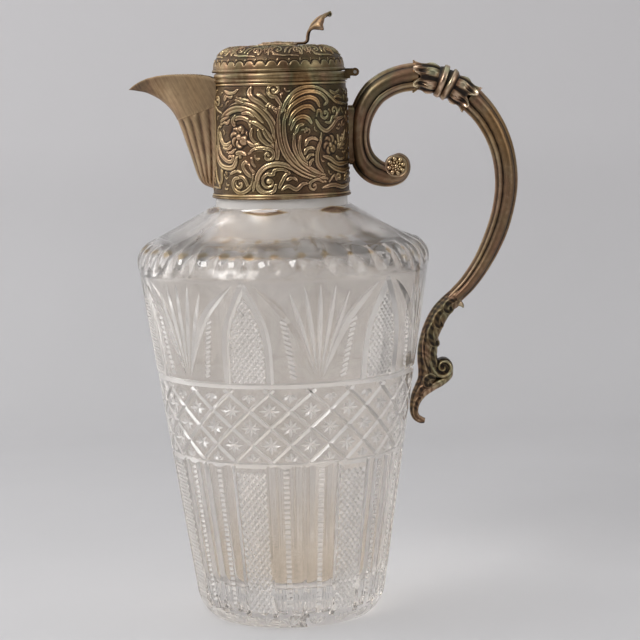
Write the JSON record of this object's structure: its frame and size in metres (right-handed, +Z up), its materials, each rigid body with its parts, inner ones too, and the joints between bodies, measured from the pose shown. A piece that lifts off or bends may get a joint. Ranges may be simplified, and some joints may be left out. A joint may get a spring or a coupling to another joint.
{
  "type": "claret jug",
  "caption": "Tapering cut-glass claret jug with a silver-plated collar, beak spout, hinged lid with thumbpiece, and a cast scroll handle.",
  "frame": {"origin": "centre of the glass foot's resting plane, on the jug's upright axis", "axes": "+Z up along the jug's axis, +X towards the handle, -X towards the spout's tip, +Y to the left of somebody pouring"},
  "size_m": [0.1761, 0.1332, 0.275],
  "materials": {
    "cut_glass": "clear lead glass, wheel-cut and polished",
    "sheet_silver": "silver plate over nickel silver, chased, with brown and green-grey tarnish in the hollows",
    "cast_silver": "silver plate over cast nickel silver, dark brown tarnish with bright ridges",
    "plaster": "matt white plaster cement",
    "pin_steel": "drawn steel wire"
  },
  "bodies": {
    "root": {"glass_body": "cut_glass", "neck_plaster": "plaster", "neck_cover_ring": "sheet_silver", "collar_sleeve": "sheet_silver", "collar_top_band": "sheet_silver", "collar_foot_wire": "sheet_silver", "spout_lip": "sheet_silver", "spout_flutes": "sheet_silver", "handle_pad": "cast_silver", "handle_upper_scroll": "cast_silver", "handle_leaf_sheath_front": "cast_silver", "handle_band": "cast_silver", "handle_leaf_sheath_rear": "cast_silver", "handle_lower_bow": "cast_silver", "handle_foot_scroll": "cast_silver", "rosette_near": "cast_silver", "rosette_far": "cast_silver", "hinge_leaf_collar": "sheet_silver", "hinge_pin": "pin_steel"},
    "lid": {"lid_dome": "sheet_silver", "lid_rim_wire": "sheet_silver", "lid_bezel": "sheet_silver", "lid_boss": "sheet_silver", "thumbpiece": "sheet_silver", "hinge_leaf_lid": "sheet_silver"}
  },
  "joints": [
    {"name": "lid_hinge", "type": "hinge", "parent": "root", "child": "lid", "pos_m": [0.0345, 0, 0.2474], "axis": [0, 1, 0], "range_deg": [0, 95]}
  ]
}
